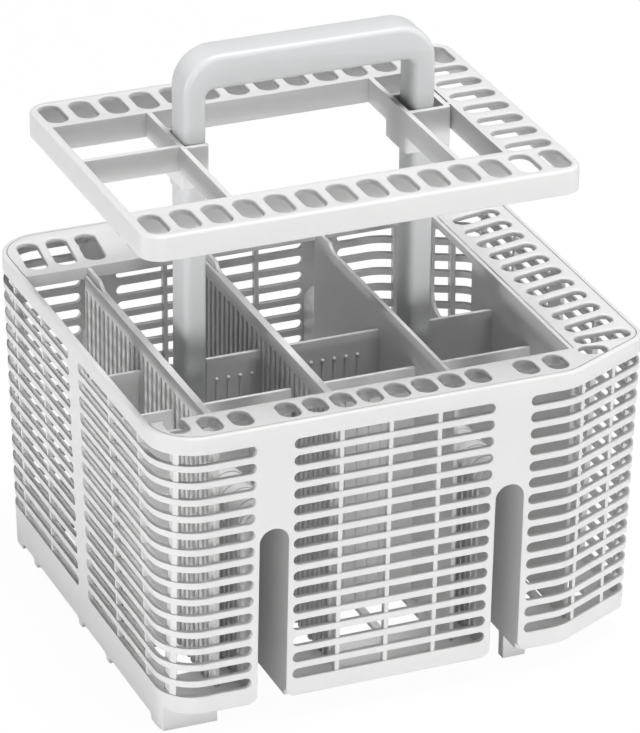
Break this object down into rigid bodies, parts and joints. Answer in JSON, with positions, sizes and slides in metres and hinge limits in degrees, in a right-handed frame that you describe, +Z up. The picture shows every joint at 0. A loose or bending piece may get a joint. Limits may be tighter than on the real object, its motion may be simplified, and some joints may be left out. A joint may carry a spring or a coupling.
{
  "type": "dishwasher cutlery basket",
  "caption": "Grille-walled dishwasher cutlery basket with a slotted rim, upright dividers, arched tunnels beneath, a U-shaped handle and a slotted upper tray.",
  "frame": {"origin": "on the surface the feet stand on, under the middle of the whole basket", "axes": "+Z up, +X towards the side with the cut corners, +Y from front to back"},
  "size_m": [0.2422, 0.225, 0.2823],
  "materials": {
    "basket": "satin",
    "rim_insert": "satin",
    "handle": "satin",
    "upper_tray": "satin"
  },
  "bodies": {
    "root": {"basket": "basket", "rim_insert": "rim_insert", "handle": "handle", "upper_tray": "upper_tray"}
  },
  "joints": []
}
